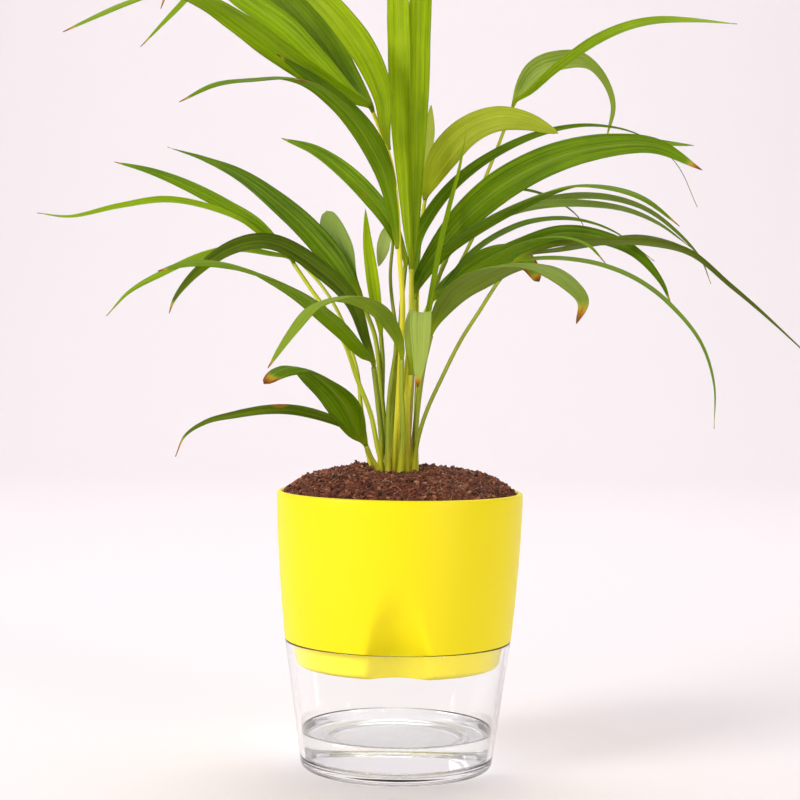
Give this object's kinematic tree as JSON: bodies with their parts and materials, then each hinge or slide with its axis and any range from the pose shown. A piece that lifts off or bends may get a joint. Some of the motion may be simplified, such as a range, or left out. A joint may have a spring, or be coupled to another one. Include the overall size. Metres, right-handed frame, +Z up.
{
  "type": "potted palm",
  "caption": "Young butterfly palm clump with long pointed arching leaves in a yellow inner pot that rests in a clear water reservoir cup.",
  "frame": {"origin": "middle of the reservoir cup's flat underside, on the pot's axis", "axes": "+Z up along the pot's axis, -Y towards the front with the filling scoop, +X to the right seen from the front"},
  "size_m": [0.3585, 0.2564, 0.4232],
  "materials": {
    "clear_plastic": "clear gloss moulded plastic",
    "water": "clear still water",
    "yellow_plastic": "satin moulded plastic",
    "coir_soil": "loose reddish brown coir fibre and chips",
    "stem": "smooth yellow-green stalk",
    "leaf_deep": "deep green satin leaf with parallel veins",
    "leaf_mid": "green satin leaf with parallel veins",
    "leaf_light": "light green satin leaf with parallel veins",
    "leaf_lime": "young yellow-green leaf, thin and translucent"
  },
  "bodies": {
    "root": {"reservoir_cup": "clear_plastic", "water": "water", "inner_pot": "yellow_plastic", "soil": "coir_soil", "stem_low_left": "stem", "stem_thin_left": "stem", "stem_outer_left": "stem", "stem_dark_left": "stem", "stem_spear": "stem", "stem_mid_left": "stem", "stem_grey": "stem", "stem_inner_left": "stem", "stem_frond": "stem", "stem_upright": "stem", "stem_front": "stem", "stem_sheath": "stem", "stem_right": "stem", "stem_lime": "stem", "stem_broad_right": "stem", "stem_long_right": "stem", "stem_back_right": "stem", "stem_inner_right": "stem", "stem_outer_right": "stem", "stem_top_right": "stem", "leaf_low_left": "leaf_deep", "leaf_outer_left": "leaf_mid", "leaf_thin_left": "leaf_mid", "leaf_dark_left": "leaf_deep", "leaf_mid_left": "leaf_deep", "leaf_spear": "leaf_light", "leaf_grey": "leaf_light", "leaf_inner_left": "leaf_mid", "leaf_front_arch": "leaf_mid", "leaf_front_droop": "leaf_light", "leaf_frond": "leaf_mid", "leaf_frond_upper": "leaf_light", "leaf_frond_side": "leaf_deep", "leaf_frond_low": "leaf_deep", "leaf_upright": "leaf_light", "leaf_lime": "leaf_lime", "leaf_folded": "leaf_light", "leaf_top_right": "leaf_light", "leaf_right_fan": "leaf_deep", "leaf_back_right": "leaf_mid", "leaf_inner_right": "leaf_deep", "leaf_long_right": "leaf_mid", "leaf_outer_right": "leaf_deep", "leaf_broad_right": "leaf_mid"}
  },
  "joints": []
}
